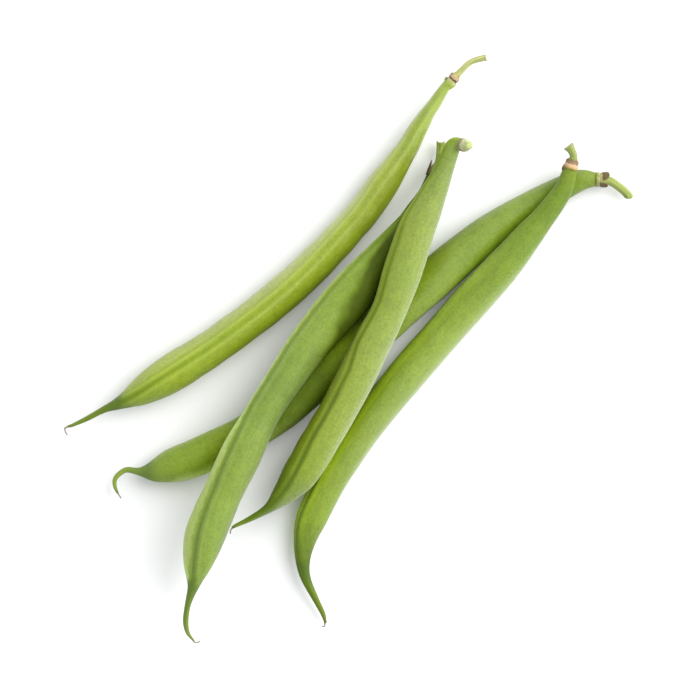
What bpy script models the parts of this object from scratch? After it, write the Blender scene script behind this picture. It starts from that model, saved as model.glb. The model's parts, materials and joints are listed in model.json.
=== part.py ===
# Green bean bundle: five fresh green beans that lie loosely across each other.
# Units are metres, +Z is up, and the surface that the beans lie on is Z = 0.
# The origin is on that surface, under the middle of the bundle.
import math

import bpy
from mathutils import Vector

MM = 0.001

# Driving dimensions, in millimetres
GAP = 0.3                # clearance between pieces that meet
STEM_GAP = 0.4           # clearance under a stem, which leaves its calyx at a slight angle
MIDDLE_X = -0.2          # middle of the bundle in the frame that the routes are written in
MIDDLE_Y = 0.1
POD_SIDES = 16           # sides of a pod's section
POD_STEPS = 3            # stations between two points of a pod's route
STEM_SIDES = 10
STYLE_SIDES = 6
STEM_STEPS = 3
STYLE_RADIUS = 0.2
CALYX_TURNS = 16         # segments round a calyx
CALYX_RIM = 0.25         # how far the calyx stands out past the neck it holds

# Material looks: colour, roughness
LOOKS = {
    "pod": ((0.30, 0.41, 0.09, 1.0), 0.55),
    "calyx": ((0.36, 0.26, 0.11, 1.0), 0.75),
    "stem": ((0.45, 0.50, 0.18, 1.0), 0.60),
    "style": ((0.20, 0.14, 0.07, 1.0), 0.85),
}

# Each bean: its section's height over its width, then routes from the stem end to the tip.
# A pod's or stem's points are (x, y, z, half width), and a style's are (x, y, z).
BEANS = {
    "left": {
        "flatness": 1.05,
        "pod": [
            (25.4, 67.0, 5.2, 1.15), (24.4, 65.7, 5.2, 1.25), (21.9, 61.9, 5.1, 1.65),
            (19.2, 57.8, 5.0, 2.1), (13.9, 49.2, 4.9, 2.85), (8.2, 41.0, 4.8, 3.8),
            (2.3, 32.8, 4.75, 4.15), (-4.5, 25.3, 4.7, 4.25), (-11.6, 18.2, 4.74, 4.5),
            (-19.3, 11.5, 4.74, 4.5), (-27.2, 5.4, 4.74, 4.5), (-35.5, -0.5, 4.8, 4.55),
            (-44.0, -5.8, 5.0, 4.75), (-48.3, -8.4, 5.0, 4.35), (-52.6, -11.0, 4.9, 3.2),
            (-57.3, -13.4, 4.7, 1.65), (-61.1, -15.0, 4.4, 0.9), (-65.2, -17.2, 3.9, 0.7),
            (-69.2, -19.0, 3.3, 0.45), (-70.3, -19.2, 3.2, 0.3),
        ],
        "stem": [
            (27.2, 68.7, 5.4, 0.6), (28.5, 70.1, 5.5, 0.55), (30.7, 71.9, 5.8, 0.55),
            (34.1, 72.9, 6.0, 0.65),
        ],
        "style": [(-70.8, -19.3, 3.2), (-70.9, -20.1, 3.1), (-70.2, -21.4, 2.9)],
    },
    "middle": {
        "flatness": 0.86,
        "pod": [
            (21.1, 43.7, 3.4, 1.5), (19.3, 39.0, 4.6, 1.9), (16.7, 34.7, 5.7, 2.4),
            (13.9, 30.2, 6.8, 3.0), (7.3, 22.6, 8.5, 4.0), (0.9, 15.1, 10.2, 5.0), (-5.3, 7.3, 11.6, 5.2),
            (-11.3, -0.7, 12.6, 5.05), (-17.0, -9.0, 13.2, 4.5), (-22.3, -17.5, 13.5, 4.45),
            (-26.9, -26.5, 13.6, 5.2), (-31.2, -35.5, 13.4, 4.9), (-35.2, -44.7, 13.1, 5.15),
            (-36.7, -49.6, 12.8, 4.55), (-37.8, -54.5, 12.4, 3.35), (-38.7, -59.0, 12.0, 1.55),
            (-40.0, -63.4, 11.5, 0.85), (-40.6, -67.6, 10.9, 0.78), (-40.1, -70.6, 10.4, 0.6),
            (-38.6, -72.7, 10.0, 0.3),
        ],
        "stem": [(22.0, 45.8, 2.8, 0.8), (22.6, 47.6, 2.5, 0.8), (23.0, 51.9, 2.7, 0.9)],
        "style": [(-38.2, -73.1, 9.9), (-37.6, -73.1, 9.9), (-37.0, -72.7, 9.9)],
    },
    "top": {
        "flatness": 0.9,
        "pod": [
            (28.7, 50.9, 20.4, 1.35), (28.0, 51.1, 19.3, 1.6), (26.8, 51.2, 18.5, 1.85),
            (25.8, 50.2, 18.0, 2.1), (24.7, 47.2, 17.4, 2.25), (23.2, 43.4, 17.1, 2.65),
            (19.0, 34.3, 16.6, 4.15), (16.9, 29.7, 16.3, 4.65), (13.7, 20.2, 15.6, 4.9),
            (10.5, 10.8, 14.7, 4.4), (6.1, 1.9, 13.7, 4.7), (1.7, -7.1, 12.4, 4.8),
            (-3.0, -15.9, 10.9, 4.7), (-8.1, -24.5, 9.6, 4.7), (-10.5, -28.6, 9.1, 4.6),
            (-13.2, -32.5, 8.7, 4.1), (-16.4, -36.3, 8.2, 2.9), (-20.1, -39.7, 7.7, 1.3),
            (-24.6, -42.3, 7.2, 0.78), (-28.2, -44.0, 6.9, 0.5), (-29.1, -44.6, 6.9, 0.35),
        ],
        "stem": [(29.5, 50.75, 22.4, 1.0), (30.1, 50.7, 24.2, 1.05)],
        "style": [(-29.4, -45.1, 6.8), (-29.5, -46.0, 6.7)],
    },
    "under": {
        "flatness": 0.86,
        "pod": [
            (62.1, 42.5, 3.4, 1.7), (58.1, 42.3, 3.6, 2.75), (53.5, 40.3, 3.8, 3.2),
            (44.7, 35.5, 4.2, 3.7), (36.3, 30.0, 4.45, 4.5), (28.4, 23.8, 4.56, 4.95),
            (20.8, 17.3, 4.56, 5.25), (13.3, 10.8, 4.56, 5.3), (2.2, 0.7, 4.56, 5.25),
            (-9.5, -8.8, 4.56, 5.3), (-17.1, -15.2, 4.56, 5.2), (-25.4, -21.0, 4.5, 4.8),
            (-34.5, -25.4, 4.4, 4.85), (-39.1, -27.4, 4.35, 4.75), (-43.7, -28.9, 4.2, 4.4),
            (-48.4, -30.3, 4.0, 2.9), (-52.2, -30.5, 3.8, 1.1), (-55.6, -30.1, 3.6, 0.75),
            (-58.1, -32.0, 3.3, 0.66), (-58.4, -34.0, 3.0, 0.55), (-57.6, -36.0, 2.7, 0.35),
        ],
        "stem": [
            (64.6, 42.35, 3.4, 0.8), (65.4, 42.1, 3.3, 0.78), (66.8, 41.25, 3.2, 0.75),
            (68.9, 39.6, 3.0, 0.75), (70.1, 38.3, 2.9, 0.8),
        ],
        "style": [(-57.3, -36.4, 2.6), (-56.8, -37.2, 2.5)],
    },
    "right": {
        "flatness": 0.9,
        "pod": [
            (55.4, 45.2, 9.7, 1.8), (53.8, 40.4, 9.5, 2.35), (51.1, 36.2, 9.4, 2.7),
            (48.0, 32.2, 9.2, 3.0), (44.8, 28.3, 9.0, 3.6), (38.5, 20.7, 7.9, 4.4),
            (31.7, 13.3, 5.8, 4.75), (25.1, 5.8, 4.5, 4.65), (18.5, -1.7, 4.29, 4.75),
            (12.0, -9.3, 4.29, 4.7), (5.8, -17.2, 4.29, 4.4), (0.0, -25.4, 4.29, 4.3),
            (-5.2, -34.0, 4.2, 4.1), (-9.4, -42.6, 4.0, 3.85), (-10.9, -47.8, 3.8, 2.8),
            (-11.4, -52.6, 3.5, 1.9), (-10.7, -57.1, 3.1, 1.3), (-8.1, -62.6, 2.7, 0.85),
            (-6.4, -66.0, 2.3, 0.65), (-5.7, -68.4, 2.0, 0.35),
        ],
        "stem": [
            (56.0, 47.4, 9.8, 0.8), (56.1, 48.4, 9.9, 0.75), (55.6, 49.6, 10.0, 0.8),
            (54.8, 50.8, 10.2, 0.95),
        ],
        "style": [(-5.7, -68.9, 2.0), (-6.1, -69.2, 1.9), (-6.8, -69.1, 1.9)],
    },
}


def clear_scene():
    for thing in list(bpy.data.objects):
        bpy.data.objects.remove(thing, do_unlink=True)


def make_collection(name):
    collection = bpy.data.collections.new(name)
    bpy.context.scene.collection.children.link(collection)
    return collection


def make_material(name, look):
    colour, roughness = look
    material = bpy.data.materials.new(name)
    material.use_nodes = True
    shader = material.node_tree.nodes["Principled BSDF"]
    shader.inputs["Base Color"].default_value = colour
    shader.inputs["Roughness"].default_value = roughness
    shader.inputs["Metallic"].default_value = 0.0
    material.diffuse_color = colour
    return material


def smooth_route(points, steps):
    """Points on the smooth curve through the route's points, steps to each stretch."""
    rows = [Vector(point) for point in points]
    rows = [2 * rows[0] - rows[1]] + rows + [2 * rows[-1] - rows[-2]]
    route = []
    for before, start, end, after in zip(rows, rows[1:], rows[2:], rows[3:]):
        for step in range(steps):
            t = step / steps
            bend = 2 * before - 5 * start + 4 * end - after
            twist = 3 * start - before - 3 * end + after
            route.append(start + 0.5 * t * ((end - before) + t * (bend + t * twist)))
    route.append(rows[-2])
    return route


def section(name, sides, flatness, collection):
    """A closed outline of half width 1 mm, which a curve sweeps and its radius scales."""
    data = bpy.data.curves.new(name, "CURVE")
    data.dimensions = "2D"
    outline = data.splines.new("POLY")
    outline.points.add(sides - 1)
    outline.use_cyclic_u = True
    for number, point in enumerate(outline.points):
        turn = -2 * math.pi * number / sides
        point.co = (MM * math.cos(turn), MM * flatness * math.sin(turn), 0.0, 1.0)
    guide = bpy.data.objects.new(name, data)
    guide.hide_render = True
    guide.display_type = "WIRE"
    collection.objects.link(guide)
    return guide


def sweep(name, route, profile, material, collection):
    """A closed piece swept along a route of (x, y, z, half width)."""
    data = bpy.data.curves.new(name, "CURVE")
    data.dimensions = "3D"
    data.twist_mode = "Z_UP"
    data.bevel_mode = "OBJECT"
    data.bevel_object = profile
    data.use_fill_caps = True
    line = data.splines.new("POLY")
    line.points.add(len(route) - 1)
    line.use_smooth = True
    for point, (x, y, z, half_width) in zip(line.points, route):
        point.co = (MM * (x - MIDDLE_X), MM * (y - MIDDLE_Y), MM * z, 1.0)
        point.radius = half_width
    data.materials.append(material)
    piece = bpy.data.objects.new(name, data)
    collection.objects.link(piece)
    return piece


def calyx(name, neck, stem_start, neck_radius, stem_radius, material, collection):
    """A turned collar between the end of a pod's neck and its stem."""
    along = (stem_start - neck).normalized()
    length = (stem_start - neck).length - GAP - STEM_GAP
    rim = neck_radius + CALYX_RIM
    outline = [(0.0, length), (stem_radius + 0.1, length), (rim - 0.2, 0.65 * length), (rim, 0.35 * length)]
    outline += [(0.8 * neck_radius, 0.0), (0.0, 0.0)]
    edges = [(i, i + 1) for i in range(len(outline) - 1)]
    mesh = bpy.data.meshes.new(name)
    mesh.from_pydata([(MM * r, 0.0, MM * z) for r, z in outline], edges, [])
    mesh.materials.append(material)
    piece = bpy.data.objects.new(name, mesh)
    collection.objects.link(piece)
    turn = piece.modifiers.new("turn", "SCREW")
    turn.axis = "Z"
    turn.angle = 2 * math.pi
    turn.steps = CALYX_TURNS
    turn.render_steps = CALYX_TURNS
    turn.use_merge_vertices = True
    turn.merge_threshold = 0.00001
    turn.use_smooth_shade = True
    foot = neck + along * GAP
    piece.location = MM * Vector((foot.x - MIDDLE_X, foot.y - MIDDLE_Y, foot.z))
    piece.rotation_mode = "QUATERNION"
    piece.rotation_quaternion = along.to_track_quat("Z", "Y")
    return piece


def make_bean(bean, shape, looks, sections, beans):
    pod_line = smooth_route(shape["pod"], POD_STEPS)
    stem_line = smooth_route(shape["stem"], STEM_STEPS)
    style_line = smooth_route([(x, y, z, STYLE_RADIUS) for x, y, z in shape["style"]], STEM_STEPS)
    sweep(bean + "_pod", pod_line, sections["pod"], looks["pod"], beans)
    sweep(bean + "_stem", stem_line, sections["stem"], looks["stem"], beans)
    sweep(bean + "_style", style_line, sections["style"], looks["style"], beans)
    neck, stem_start = pod_line[0], stem_line[0]
    calyx(bean + "_calyx", neck.xyz, stem_start.xyz, neck.w, stem_start.w, looks["calyx"], beans)


def main():
    clear_scene()
    beans = make_collection("green_bean_bundle")
    guides = make_collection("guides")
    looks = {piece: make_material(piece + "_look", look) for piece, look in LOOKS.items()}
    sections = {
        "stem": section("stem_section", STEM_SIDES, 1.0, guides),
        "style": section("style_section", STYLE_SIDES, 1.0, guides),
    }
    for bean, shape in BEANS.items():
        sections["pod"] = section(bean + "_section", POD_SIDES, shape["flatness"], guides)
        make_bean(bean, shape, looks, sections, beans)


main()
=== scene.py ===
import json
from math import cos, pi, radians, sin, sqrt

import bmesh
import bpy
import numpy as np
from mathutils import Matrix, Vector, noise
from mathutils.bvhtree import BVHTree

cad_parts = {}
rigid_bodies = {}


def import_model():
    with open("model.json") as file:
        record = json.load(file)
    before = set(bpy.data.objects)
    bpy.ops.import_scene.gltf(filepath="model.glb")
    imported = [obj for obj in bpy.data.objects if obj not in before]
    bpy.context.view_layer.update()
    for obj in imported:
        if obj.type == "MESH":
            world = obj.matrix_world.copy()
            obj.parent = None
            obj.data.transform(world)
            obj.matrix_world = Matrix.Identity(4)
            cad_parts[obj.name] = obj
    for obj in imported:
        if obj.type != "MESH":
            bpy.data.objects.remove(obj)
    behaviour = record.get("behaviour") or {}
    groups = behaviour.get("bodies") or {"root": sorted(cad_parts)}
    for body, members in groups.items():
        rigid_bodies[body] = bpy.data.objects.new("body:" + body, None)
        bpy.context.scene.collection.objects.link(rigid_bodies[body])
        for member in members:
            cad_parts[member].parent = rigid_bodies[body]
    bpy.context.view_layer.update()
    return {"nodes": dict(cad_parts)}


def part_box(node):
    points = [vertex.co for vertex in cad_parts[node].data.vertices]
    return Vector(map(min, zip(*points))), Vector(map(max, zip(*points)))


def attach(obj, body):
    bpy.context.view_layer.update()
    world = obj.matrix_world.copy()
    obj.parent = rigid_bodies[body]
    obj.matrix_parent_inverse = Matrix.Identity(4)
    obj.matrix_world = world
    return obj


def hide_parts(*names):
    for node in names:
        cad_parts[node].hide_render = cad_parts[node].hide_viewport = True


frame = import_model()
mm = 0.001
weld = 0.0002 * mm        # corners closer than this become one corner
upwards = np.array([0.0, 0.0, 1.0])
beanNames = ["left", "middle", "top", "under", "right"]
things = bpy.context.scene.collection.objects
print("frame loaded with", len(frame["nodes"]), "nodes")


# Measuring: every pod, stalk and tip of the frame is a swept solid, so rings of corners run along it

def unit(rows):
    return rows / np.linalg.norm(rows, axis=-1, keepdims=True)


def bell(value, width):
    return np.exp(-(value / width) ** 2)


def easeIn(value, low, high):
    # 0 below low, 1 above high, smooth between
    share = np.clip((value - low) / (high - low), 0.0, 1.0)
    return share * share * (3.0 - 2.0 * share)


def middleOf(node):
    low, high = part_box(node)
    return (low + high) / 2


def ringsFrom(node, start, reach):
    # rings of corners in order, from the end cap that is nearest to a point
    capFlat = 0.02 * mm
    solid = bmesh.new()
    solid.from_mesh(frame["nodes"][node].data)
    bmesh.ops.remove_doubles(solid, verts=solid.verts, dist=weld)
    solid.verts.index_update()
    cap = min(solid.faces, key=lambda face: (face.calc_center_median() - start).length)
    normal = cap.normal.copy()
    corner = cap.verts[0].co.copy()
    ring = [v for v in solid.verts if (v.co - corner).length < reach]
    ring = [v for v in ring if abs((v.co - corner).dot(normal)) < capFlat]
    seen = set(ring)
    rings = []
    while ring:
        rings.append(np.array([v.co[:] for v in ring]))
        beyond = {edge.other_vert(v) for v in ring for edge in v.link_edges} - seen
        seen |= beyond
        ring = sorted(beyond, key=lambda v: v.index)
    solid.free()
    return rings


def cubicThrough(knots, values, places):
    # a smooth curve through the values, which leaves each one in line with its neighbours
    slopes = np.gradient(values, knots, axis=0)
    spot = np.clip(np.searchsorted(knots, places, side="right") - 1, 0, len(knots) - 2)
    gap = (knots[spot + 1] - knots[spot])[:, None]
    t = (places - knots[spot])[:, None] / gap
    starts = (1 + 2 * t) * (1 - t) ** 2 * values[spot] + t * (1 - t) ** 2 * gap * slopes[spot]
    ends = t * t * (3 - 2 * t) * values[spot + 1] - t * t * (1 - t) * gap * slopes[spot + 1]
    return starts + ends


class Spine:
    # the middle line of a piece, with side and up directions and half sizes along it

    def __init__(self, points, spacing=0.2 * mm, across=None):
        points = np.array(points)
        steps = np.linalg.norm(np.diff(points, axis=0), axis=1)
        self.knots = np.concatenate([[0.0], np.cumsum(steps)])
        self.length = self.knots[-1]
        self.run = np.linspace(0.0, self.length, max(9, int(self.length / spacing)))
        self.centre = cubicThrough(self.knots, points, self.run)
        self.along = unit(np.gradient(self.centre, self.run, axis=0))
        self.side = self.carriedSides() if across is None else np.tile(across, (len(self.run), 1))
        self.up = np.cross(self.side, self.along)

    def carriedSides(self):
        # the level side direction at the middle, carried to both ends without twisting
        sides = np.zeros_like(self.along)
        middle = len(self.run) // 2
        sides[middle] = unit(np.cross(self.along[middle], upwards))
        for spots in (range(middle + 1, len(self.run)), range(middle - 1, -1, -1)):
            last = sides[middle]
            for spot in spots:
                last = unit(last - self.along[spot] * last.dot(self.along[spot]))
                sides[spot] = last
        return sides

    def measure(self, rings):
        # half width and half height of each ring, by how far its corners spread
        widths, heights = [], []
        for ring, knot in zip(rings, self.knots):
            out = ring - self.at(self.centre, knot)
            widths.append(sqrt(2 * np.mean((out @ self.at(self.side, knot)) ** 2)))
            heights.append(sqrt(2 * np.mean((out @ self.at(self.up, knot)) ** 2)))
        sizes = cubicThrough(self.knots, np.column_stack([widths, heights]), self.run)
        self.halfWidth, self.halfHeight = sizes.T
        return self

    def at(self, values, distance):
        if values.ndim == 1:
            return np.interp(distance, self.run, values)
        return np.stack([np.interp(distance, self.run, column) for column in values.T], axis=-1)

    def place(self, distance, sideways, rise):
        # points beside the spine, straight on past its ends
        past = distance - np.clip(distance, 0.0, self.length)
        middle = self.at(self.centre, distance) + self.at(self.along, distance) * past[:, None]
        out = self.at(self.side, distance) * sideways[:, None]
        return middle + out + self.at(self.up, distance) * rise[:, None]


def measuredSpine(node, start, reach):
    rings = ringsFrom(node, start, reach)
    whole = 0.4 * max(len(ring) for ring in rings)    # the caps' own few corners are no ring
    rings = [ring for ring in rings if len(ring) > whole]
    return Spine([ring.mean(axis=0) for ring in rings]).measure(rings)


# how far the corners of an end cap lie from each other at most
capReach = {"pod": 6.0 * mm, "stem": 3.0 * mm, "style": 0.5 * mm}
podSpines, stalkSpines, tipSpines = {}, {}, {}
for bean in beanNames:
    calyxMiddle = middleOf(bean + "_calyx")
    podSpines[bean] = measuredSpine(bean + "_pod", calyxMiddle, capReach["pod"])
    stalkSpines[bean] = measuredSpine(bean + "_stem", calyxMiddle, capReach["stem"])
    beakEnd = Vector(podSpines[bean].centre[-1])
    tipSpines[bean] = measuredSpine(bean + "_style", beakEnd, capReach["style"])
    print(bean, "bean measured,", round(podSpines[bean].length / mm, 1), "mm long")


# Building: a grid is rolled up into a closed tube, row by row along a spine

def roundEnd(depth, rows):
    # distance from the end, and share of the full radius, over a rounded end
    turns = [pi / 2 * row / rows for row in range(rows + 1)]
    return [(depth * (1 - cos(turn)), sin(turn)) for turn in turns]


def rowsAlong(length, step, head, tail):
    # (distance, fullness) of each row of a tube, from its first pole to its last
    first, last = head[-1][0], length - tail[-1][0]
    count = max(2, round((last - first) / step))
    body = [(first + (last - first) * row / count, 1.0) for row in range(1, count)]
    return head + body + [(length - distance, fullness) for distance, fullness in reversed(tail)]


def rollTube(shape, rows, around, place, layOut, look=0, endLook=None, cover=None):
    # place gives each corner's position, layOut the millimetres along and round that its skin has
    if cover is not None:
        hidden = shape.verts.layers.float.new("shelter")
    skin = shape.loops.layers.uv.verify()
    rows = np.array(rows)
    size = len(rows) - 1
    grid = bmesh.ops.create_grid(shape, x_segments=size, y_segments=around, size=0.5)["verts"]
    flat = np.array([v.co[:] for v in grid])
    row = np.rint((flat[:, 0] + 0.5) * size).astype(int)
    turn = np.rint((flat[:, 1] + 0.5) * around) / around
    distance, fullness = rows[row, 0], rows[row, 1]
    spots = place(distance, fullness, turn)
    marks = layOut(distance, turn)
    number = {v: index for index, v in enumerate(grid)}
    for face in {face for v in grid for face in v.link_faces}:
        face.smooth = True
        face.material_index = look
        corners = [number[v] for v in face.verts]
        if endLook is not None and min(row[corners]) >= size - endLook[0]:
            face.material_index = endLook[1]
        for loop, corner in zip(face.loops, corners):
            loop[skin].uv = marks[corner]
    for v, spot in zip(grid, spots):
        v.co = spot
    if cover is not None:
        for v, share in zip(grid, cover(distance, turn)):
            v[hidden] = share
    bmesh.ops.remove_doubles(shape, verts=grid, dist=weld)


def finishPiece(shape, name, node, looks):
    # the bmesh becomes a piece that stands for a node of the frame
    bmesh.ops.recalc_face_normals(shape, faces=shape.faces)
    mesh = bpy.data.meshes.new(name)
    shape.to_mesh(mesh)
    shape.free()
    mesh.uv_layers[0].name = "skin"
    for look in looks:
        mesh.materials.append(look)
    piece = bpy.data.objects.new(name, mesh)
    things.link(piece)
    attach(piece, "root")
    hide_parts(node)
    return piece


# Painting: shader maths is written as sums and products of sockets

def joining(operation, swapped=False):
    # an operator for sockets, swapped if the socket comes after its sign
    def join(wire, other=0.0):
        return wire.combine(operation, *((other, wire) if swapped else (wire, other)))

    return join


class Wire:
    # one output socket of a material

    def __init__(self, paint, socket):
        self.paint = paint
        self.socket = socket

    def combine(self, operation, first, second=0.0):
        return self.paint.add("ShaderNodeMath", {"operation": operation}, {0: first, 1: second})

    __add__ = __radd__ = joining("ADD")
    __mul__ = __rmul__ = joining("MULTIPLY")
    __sub__ = joining("SUBTRACT")
    __rsub__ = joining("SUBTRACT", True)
    __truediv__ = joining("DIVIDE")
    __abs__ = joining("ABSOLUTE")


class Paint:
    # the nodes of one material

    def __init__(self, name):
        self.material = bpy.data.materials.new(name)
        self.material.use_nodes = True
        self.tree = self.material.node_tree
        self.shader = self.tree.nodes["Principled BSDF"]
        self.skin = self.add("ShaderNodeUVMap", {"uv_map": "skin"})
        split = self.add("ShaderNodeSeparateXYZ", {}, {"Vector": self.skin})
        self.along = split
        self.round = Wire(self, split.socket.node.outputs["Y"])
        self.space = self.add("ShaderNodeTexCoord", {}, {}, "Object")

    def add(self, kind, settings=None, sockets=None, output=0):
        node = self.tree.nodes.new(kind)
        for name, value in (settings or {}).items():
            if name == "stops":
                self.setStops(node.color_ramp, value)
            else:
                setattr(node, name, value)
        for name, value in (sockets or {}).items():
            self.feed(node.inputs[name], value)
        return Wire(self, node.outputs[output])

    def setStops(self, ramp, stops):
        while len(ramp.elements) < len(stops):
            ramp.elements.new(0.5)
        for element, (place, colour) in zip(ramp.elements, stops):
            element.position = place
            element.color = colour

    def feed(self, socket, value):
        if isinstance(value, Wire):
            self.tree.links.new(value.socket, socket)
        else:
            socket.default_value = value

    def grain(self, size, detail=2.0, roughness=0.5, vector=None):
        # noise with blotches of about the given size in metres, from 0 to 1 about 0.5
        sockets = {"Vector": vector or self.space, "Scale": 1.0 / size, "Detail": detail}
        sockets["Roughness"] = roughness
        return self.add("ShaderNodeTexNoise", {}, sockets)

    def streaks(self, length, breadth, seed):
        # noise drawn out along the piece, in millimetres
        parts = {"X": self.along / length, "Y": self.round / breadth, "Z": seed}
        drawn = self.add("ShaderNodeCombineXYZ", {}, parts)
        return self.grain(1.0, 2.0, 0.5, drawn)

    def ramp(self, value, low, high, start=0.0, end=1.0):
        # start below low, end above high, smooth between
        sockets = {"Value": value, "From Min": low, "From Max": high, "To Min": start, "To Max": end}
        return self.add("ShaderNodeMapRange", {"interpolation_type": "SMOOTHSTEP"}, sockets)

    def window(self, value, startLow, startHigh, endHigh=None, endLow=None):
        # 0 outside, 1 inside, smooth at its start and at its end if it has one
        inside = self.ramp(value, startLow, startHigh)
        return inside if endHigh is None else inside * self.ramp(value, endHigh, endLow)

    def toneAlong(self, share, stops):
        # colours given as (share, red, green, blue), joined up
        stops = [(place, tone(*colour)) for place, *colour in stops]
        return self.add("ShaderNodeValToRGB", {"stops": stops}, {"Fac": share})

    def valueAlong(self, share, stops):
        # numbers given as (share, value), joined up
        return 8.0 * self.toneAlong(share, [(place, *[value / 8] * 3) for place, value in stops])

    def darker(self, colour, value):
        return self.mix(1.0, colour, self.grey(value), "MULTIPLY")

    def bell(self, value, width):
        scaled = value / width
        return Wire.combine(scaled, "EXPONENT", scaled * scaled * -1.0)

    def mix(self, share, first, second, blend="MIX"):
        settings = {"data_type": "RGBA", "blend_type": blend}
        return self.add("ShaderNodeMix", settings, {0: share, 6: first, 7: second}, 2)

    def bumps(self, height, distance, strength=1.0):
        sockets = {"Height": height, "Distance": distance, "Strength": strength}
        return self.add("ShaderNodeBump", {}, sockets)

    def grey(self, value):
        return self.add("ShaderNodeCombineColor", {}, {"Red": value, "Green": value, "Blue": value})

    def finish(self, colour, roughness, specular, **others):
        # the others are sockets of the shader, with each space written as an underscore
        others.update(Base_Color=colour, Roughness=roughness, Specular_IOR_Level=specular)
        for name, value in others.items():
            self.feed(self.shader.inputs[name.replace("_", " ")], value)
        return self.material

    def cover(self, share, **values):
        # a second shader like the first but for these values lies over it by the share
        share = self.add("ShaderNodeMath", {"operation": "MULTIPLY", "use_clamp": True}, {0: share, 1: 1.0})
        second = self.tree.nodes.new("ShaderNodeBsdfPrincipled")
        for socket in self.shader.inputs:
            for link in socket.links:
                self.tree.links.new(link.from_socket, second.inputs[socket.name])
        for name, value in values.items():
            self.feed(second.inputs[name.replace("_", " ")], value)
        sockets = {0: share, 1: Wire(self, self.shader.outputs[0]), 2: Wire(self, second.outputs[0])}
        mixed = self.add("ShaderNodeMixShader", {}, sockets)
        self.feed(self.tree.nodes["Material Output"].inputs["Surface"], mixed)
        return self.material


def tone(red, green, blue, strength=1.0):
    return (red * strength, green * strength, blue * strength, 1.0)


# Pods. Lists give values, or colours, at shares of the pod's length.
# seam: degrees up from the bean's upper-left side; groove: its depth against podShape's;
# bulge: where the pod's lower-right side bulges, and by how many mm; beak: where the beak starts;
# sheltered: share of hidden sky at which no fuzz shows; shaded: how much darker the skin is painted there,
# as painted shade between the beans;
# line, lips, shoulder and rim: share of cover and colour, after a width in mm for the line; shoulder and
# rim are painted light;
# leftSide, rightSide and flankEdge: mm from the seam between which that side's painted light and shade and
# its fuzz, and the pale flank, set in.
pods = {}
pods["left"] = {
    "seam": [(0.0, 66), (0.15, 70), (0.3, 75), (0.5, 83), (0.67, 84), (0.8, 87), (0.92, 90)],
    "groove": [(0.0, 0.8)],
    "pattern": 3.0, "seeds": 12, "beak": 0.885, "beakTone": 1.0,
    "sheltered": 0.3, "paintedShade": 0.22, "fuzz": 0.46,
    "tones": [(0.0, 0.2, 0.272, 0.014), (0.1, 0.194, 0.255, 0.012), (0.18, 0.22, 0.274, 0.014),
              (0.35, 0.23, 0.291, 0.014), (0.55, 0.212, 0.274, 0.012), (0.8, 0.213, 0.283, 0.012),
              (0.88, 0.16, 0.236, 0.01)],
    "flank": tone(0.42, 0.46, 0.14), "flankEdge": (-1.2, -2.4),
    "flankShare": [(0.0, 0.38), (1.0, 0.38)],
    "line": (0.5, 0.34, tone(0.155, 0.232, 0.004)), "lips": (0.36, tone(0.42, 0.49, 0.09)),
    "bloom": [(0.0, 1.2), (0.16, 1.7), (0.32, 1.4), (0.5, 0.9), (0.62, 0.65), (0.8, 0.36), (0.9, 0.3)],
    "leftSide": (1.0, -1.0), "rightSide": (1.5, 4.5),
    "leftShade": [(0.01, 1.0), (0.3, 1.03), (0.73, 0.93), (0.86, 1.05), (0.92, 1.0)],
    "leftBloom": [(0.01, 1.8), (0.16, 1.05), (0.3, 0.8), (0.6, 0.95), (0.8, 0.85), (0.86, 1.2),
                  (0.92, 2.0)],
    "rightShade": [(0.01, 1.25), (0.06, 1.4), (0.1, 1.12), (0.16, 0.88), (0.42, 1.06), (0.8, 1.02),
                   (0.86, 1.06), (0.92, 1.2)],
    "rightBloom": [(0.01, 0.6), (0.1, 0.65), (0.16, 1.15), (0.5, 0.6), (0.6, 1.05), (0.8, 1.4),
                   (0.86, 2.0), (0.92, 1.2)],
}
pods["middle"] = {
    "seam": [(0.19, 37), (0.26, 40), (0.54, 38), (0.62, 52), (0.73, 60), (0.8, 70), (0.86, 75), (0.9, 84)],
    "groove": [(0.55, 0.6), (0.75, 1.0)],
    "pattern": 17.0, "seeds": 11, "beak": 0.888, "beakTone": 1.0, "bulge": (0.26, 1.3),
    "sheltered": 0.14, "paintedShade": 0.62, "fuzz": 0.3,
    "tones": [(0.0, 0.14, 0.215, 0.01), (0.16, 0.16, 0.245, 0.01), (0.3, 0.152, 0.222, 0.008),
              (0.4, 0.148, 0.222, 0.008), (0.5, 0.124, 0.195, 0.008), (0.66, 0.148, 0.222, 0.008),
              (0.84, 0.143, 0.222, 0.008)],
    "flank": tone(0.42, 0.55, 0.08), "flankEdge": (-0.3, -1.3),
    "flankShare": [(0.0, 0.5), (0.1, 0.6), (0.16, 0.55), (0.4, 0.65), (0.5, 0.85), (0.73, 0.55),
                   (0.84, 0.55), (0.88, 0.7)],
    "line": (0.55, 0.5, tone(0.095, 0.158, 0.004)), "lips": (0.16, tone(0.34, 0.41, 0.1)),
    "bloom": [(0.0, 0.7), (0.3, 0.8), (0.4, 1.0), (0.8, 1.0), (0.88, 0.65)],
    "leftSide": (2.6, 0.4), "rightSide": (4.5, 8.5),
    "leftShade": [(0.3, 1.08), (0.4, 1.15), (0.5, 1.35), (0.66, 1.1), (0.76, 1.0), (0.84, 1.0),
                  (0.93, 1.3)],
    "leftBloom": [(0.1, 1.45), (0.16, 1.05), (0.3, 0.95), (0.5, 1.25), (0.6, 1.15), (0.76, 1.3),
                  (0.88, 1.8), (0.93, 2.4)],
    "rightShade": [(0.1, 0.88), (0.3, 0.82), (0.4, 0.62), (0.6, 0.8), (0.66, 0.82), (0.76, 0.76),
                   (0.84, 0.55), (0.88, 0.67), (0.93, 0.9)],
    "rightBloom": [(0.1, 0.3), (0.5, 0.4), (0.76, 1.15), (0.88, 1.0), (0.93, 0.65)],
}
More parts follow.
